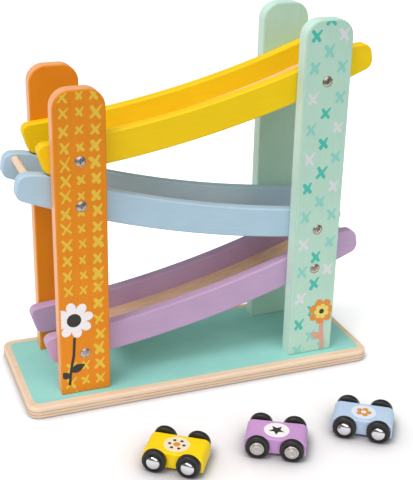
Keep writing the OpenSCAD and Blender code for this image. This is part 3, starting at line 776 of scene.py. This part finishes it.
middle = middle_of("front_right_post")
places = []
for row in RIGHT_ROWS:
    pair, step = divmod(row, 2)
    tones = (MIDDLE_TONES[pair % len(MIDDLE_TONES)],) if step else PAIR_TONES[pair % len(PAIR_TONES)]
    for x, tone in zip((0.0,) if step else (-RIGHT_SIDE, RIGHT_SIDE), tones):
        places.append((x, RIGHT_TOP - RIGHT_PITCH * row, RIGHT_SIZE * rng.uniform(0.94, 1.06),
                       RIGHT_STROKE * rng.uniform(0.9, 1.15), tone))
tones = crosses(rng, "front_right_post", places, RIGHT_ROOM)
flower_x, flower_z = middle + RIGHT_FLOWER_X, RIGHT_FLOWER_Z
printed("right_print", "front_right_post", [
    ("teal_crosses", tones["teal"], INK_TEAL),
    ("pale_teal_crosses", tones["pale_teal"], INK_PALE_TEAL),
    ("lilac_crosses", tones["lilac"], INK_LILAC),
    ("stem", [stem([(middle + x, z) for x, z in RIGHT_STEM], width=4.0)], INK_PINK),
    ("leaf", [leaf(middle + 10.8, 22, length=13, width=6.5, lean=148)], INK_PINK),
    ("petals", [rosette(flower_x, flower_z, radius=12.0, petals=7, waist=0.66, lean=0.1)], INK_ORANGE),
    ("heart", [rosette(flower_x, flower_z, radius=7.0, petals=7, waist=0.7, lean=0.5)], INK_STRAW),
    ("seed", [ellipse(flower_x, flower_z, wide=4.6, tall=4.6)], INK_BLACK),
])


# The cars

def car_outline():
    """A car's side: a low block with well rounded ends to its roof."""
    half = CAR_LENGTH / 2
    sill, crown = CAR_LOW + CAR_BOTTOM_CORNER, CAR_ROOF - CAR_TOP_CORNER
    return (arc((half - CAR_BOTTOM_CORNER, sill), CAR_BOTTOM_CORNER, 270, 360, steps=6)
            + arc((half - CAR_TOP_CORNER, crown), CAR_TOP_CORNER, 0, 90, steps=12)
            + arc((CAR_TOP_CORNER - half, crown), CAR_TOP_CORNER, 90, 180, steps=12)
            + arc((CAR_BOTTOM_CORNER - half, sill), CAR_BOTTOM_CORNER, 180, 270, steps=6))


# Turned profiles, as (radius, height over the wheel's inner face or over the wheel's outer face)
AXLE_BORE = 1.52
WHEEL_WIDTH = WHEEL_OUTER - WHEEL_INNER
TREAD_RADIUS, TREAD_ROUND = 7.9, 1.1
WHEEL = ([(AXLE_BORE, 0.0), (7.6, 0.0)] + arc((TREAD_RADIUS, TREAD_ROUND), TREAD_ROUND, -75, 0, steps=5)
         + arc((TREAD_RADIUS, WHEEL_WIDTH - TREAD_ROUND), TREAD_ROUND, 0, 90, steps=6)
         + [(7.3, WHEEL_WIDTH), (7.1, 4.85), (7.05, 4.35), (6.9, 4.2), (5.9, 4.2), (5.75, 4.35), (5.7, 4.85),
            (5.5, WHEEL_WIDTH), (AXLE_BORE, WHEEL_WIDTH)])
CAP_RADIUS, CAP_RIM, CAP_SEAT = 5.2, 0.5, 0.02
DOME_RADIUS, DOME_FOOT, DOME_RISE = 5.1, 0.7, 2.0
CAP_BACK = [(0.0, CAP_SEAT), (CAP_RADIUS, CAP_SEAT), (CAP_RADIUS, CAP_RIM)]
DOMED_CAP = (CAP_BACK + [(DOME_RADIUS * math.cos(turn), DOME_FOOT + DOME_RISE * math.sin(turn))
                         for turn in (math.radians(9 * i) for i in range(10))]
             + [(0.0, DOME_FOOT + DOME_RISE)])
FLAT_CAP = CAP_BACK + [(5.0, 0.7), (4.3, 0.72), (4.2, 0.6), (4.0, 0.6), (3.9, 0.75), (3.7, 1.25), (3.5, 1.3),
                       (2.6, 1.3), (2.5, 1.18), (2.3, 1.18), (2.2, 1.3), (1.3, 1.3), (1.1, 1.15),
                       (0.5, 0.92), (0.0, 0.9)]
CAPS = {"left": ("flat", FLAT_CAP, TURNED_NICKEL, "cap_nickel"),
        "right": ("domed", DOMED_CAP, CHROME, "cap_chrome")}

# The prints on the roofs, about the middle of each disc
STAR_TIP, STAR_WAIST = 6.2, 2.8
STAR = [(radius * math.cos(math.radians(90 + 36 * i)), radius * math.sin(math.radians(90 + 36 * i)))
        for i, radius in enumerate((STAR_TIP, STAR_WAIST) * 5)]
DOT_RING, DOT_WIDTH = 5.4, 2.5
DOTS = [ellipse(DOT_RING * math.cos(turn), DOT_RING * math.sin(turn), DOT_WIDTH, DOT_WIDTH)
        for turn in (math.radians(60 * i) for i in range(6))]
BADGES = {"yellow": [("dots", DOTS, INK_BLACK), ("heart", [ellipse(0, 0, wide=5.2, tall=5.2)], INK_ORANGE)],
          "purple": [("star", [STAR], INK_BLACK)],
          "blue": [("petals", [rosette(0, 0, radius=6.0, petals=5, waist=0.55)], INK_ORANGE),
                   ("heart", [ellipse(0, 0, wide=4.0, tall=4.0)], INK_WHITE)]}


def stand_of(car):
    """Where a car stands, from its axles' hinges: x ahead, y to its left and z up."""
    front, rear = (Vector(joints[f"{car}_car_{axle}_axle_spin"]["pos_m"]) for axle in ("front", "rear"))
    ahead = (front - rear).normalized()
    middle = (front + rear) / 2
    return Matrix(((ahead.x, -ahead.y, 0, middle.x), (ahead.y, ahead.x, 0, middle.y),
                   (0, 0, 1, 0), (0, 0, 0, 1)))


for car, paint, disc_ink in (("yellow", CAR_YELLOW, INK_CREAM), ("purple", CAR_PURPLE, INK_WHITE),
                             ("blue", CAR_BLUE, INK_MIST)):
    stand = stand_of(car)
    body, slot = f"{car}_car", f"{car}_car_painted_wood"
    block = plate(f"{car}_car_block", car_outline(), -CAR_WIDTH / 2, CAR_WIDTH / 2, CAR_EDGE, STANDING)
    piece(block, [paint, paint], body, [f"{car}_car_body"], stand)
    badge = [("disc", [ellipse(0, 0, 2 * DISC_RADIUS, 2 * DISC_RADIUS, steps=48)], disc_ink)] + BADGES[car]
    for i, (layer, shapes, ink) in enumerate(badge):
        ink_film = film(f"{car}_roof_{layer}", shapes, CAR_ROOF, INK_LAYER * (i + 1), LYING)
        piece(ink_film, [ink], body, (), stand)
    for axle in ("front", "rear"):
        spin = joints[f"{car}_car_{axle}_axle_spin"]
        axle_node = frame["nodes"][f"{car}_car_{axle}_axle"]
        axle_node.data.materials.clear()
        axle_node.data.materials.append(STEEL)
        hub = Matrix.Translation(spin["pos_m"]) @ stand.to_3x3().to_4x4()
        for side, sign in (("left", 1), ("right", -1)):
            outward = hub @ Matrix.Rotation(math.radians(-90 * sign), 4, "X")
            axle_set = f"{car}_car_{axle}_axle_set"
            piece(turning(f"{car}_{axle}_{side}_wheel_moulding", WHEEL), [BLACK], axle_set,
                  [f"{car}_car_{axle}_{side}_wheel"], outward @ Matrix.Translation((0, 0, WHEEL_INNER * MM)))
            kind, profile, metal, cap_slot = CAPS[side]
            piece(turning(f"{car}_{axle}_{kind}_cap_turning", profile), [metal], axle_set,
                  [f"{car}_car_{axle}_{kind}_cap"], outward @ Matrix.Translation((0, 0, WHEEL_OUTER * MM)))


# The paper, the light and the camera. The paper ends in front of the cars, where the room is dark.

# Half the paper's side, and how far it reaches to the front, in metres
PAPER_HALF = 6.0
PAPER_FRONT = 0.32
# How bright the room is on surfaces and in reflections
ROOM_LIGHT = 0.46
ROOM_SHEEN = 0.2
# The room's light is a little cool and the lamps' a little warm, and together they are white
ROOM_TINT = (0.86, 1.0, 0.97, 1.0)
LAMP_TINT = (1.0, 0.905, 0.93)
sweep = bmesh.new()
bmesh.ops.create_grid(sweep, x_segments=1, y_segments=1, size=PAPER_HALF)
bmesh.ops.translate(sweep, vec=(0, PAPER_HALF - PAPER_FRONT, 0), verts=sweep.verts)
paper = bpy.data.objects.new("paper", mesh_of("paper", sweep))
# The last colour is the grey of the painted shade close beside things on the paper
paper.data.materials.append(paper_sweep("white_paper_sweep", "#F0F0F0", "#F4F4F4", "#A6A6A8"))
bpy.context.scene.collection.objects.link(paper)

world = bpy.data.worlds.new("white_studio")
bpy.context.scene.world = world
world.use_nodes = True
sky = world.node_tree
path = add(sky, "ShaderNodeLightPath").outputs
tint = add(sky, "ShaderNodeMix",
           {0: path["Is Camera Ray"], 6: ROOM_TINT, 7: (1, 1, 1, 1)}, data_type="RGBA").outputs[2]
sky.links.new(tint, sky.nodes["Background"].inputs["Color"])
room = add(sky, "ShaderNodeMix", {0: path["Is Glossy Ray"], 2: ROOM_LIGHT, 3: ROOM_SHEEN}).outputs[0]
level = add(sky, "ShaderNodeMix", {0: path["Is Camera Ray"], 2: room, 3: 1.0}).outputs[0]
sky.links.new(level, sky.nodes["Background"].inputs["Strength"])


def soft_lamp(name, heading, height, spread, strength):
    """An even soft light from one direction, in degrees round from the front and up from the floor."""
    lamp = bpy.data.lights.new(name, "SUN")
    lamp.angle = math.radians(spread)
    lamp.energy = strength
    lamp.color = LAMP_TINT
    made = bpy.data.objects.new(name, lamp)
    bpy.context.scene.collection.objects.link(made)
    made.rotation_euler = (math.radians(90 - height), 0, math.radians(heading))


soft_lamp("left_soft_lamp", heading=-70, height=60, spread=30, strength=1.75)
soft_lamp("front_soft_lamp", heading=-8, height=42, spread=70, strength=1.4)

# Where the camera stood and how it was turned, fitted to the edges of the base, the posts and the rails.
# The photograph is 413 by 480 pixels, and FOCAL and CENTRE are in its pixels.
CAMERA_PLACE = Vector((-0.271991, -0.727503, 0.442545))
YAW, PITCH, ROLL = 20.043, 22.483, 0.667
FOCAL = 1014.664
CENTRE = (177.679, 227.630)
PHOTO_WIDTH, PHOTO_HEIGHT = 413, 480
lens = bpy.data.cameras.new("camera")
lens.sensor_fit = "VERTICAL"
lens.sensor_height = 36.0
lens.lens = FOCAL / PHOTO_HEIGHT * lens.sensor_height
lens.shift_x = (PHOTO_WIDTH / 2 - CENTRE[0]) / PHOTO_HEIGHT
lens.shift_y = (CENTRE[1] - PHOTO_HEIGHT / 2) / PHOTO_HEIGHT
lens.clip_start = 0.01
camera = bpy.data.objects.new("camera", lens)
bpy.context.scene.collection.objects.link(camera)
turn = (Matrix.Rotation(math.radians(-YAW), 4, "Z") @ Matrix.Rotation(math.radians(90 - PITCH), 4, "X")
        @ Matrix.Rotation(math.radians(ROLL), 4, "Z"))
camera.matrix_world = Matrix.Translation(CAMERA_PLACE) @ turn
bpy.context.scene.camera = camera
bpy.context.scene.view_settings.view_transform = "Standard"
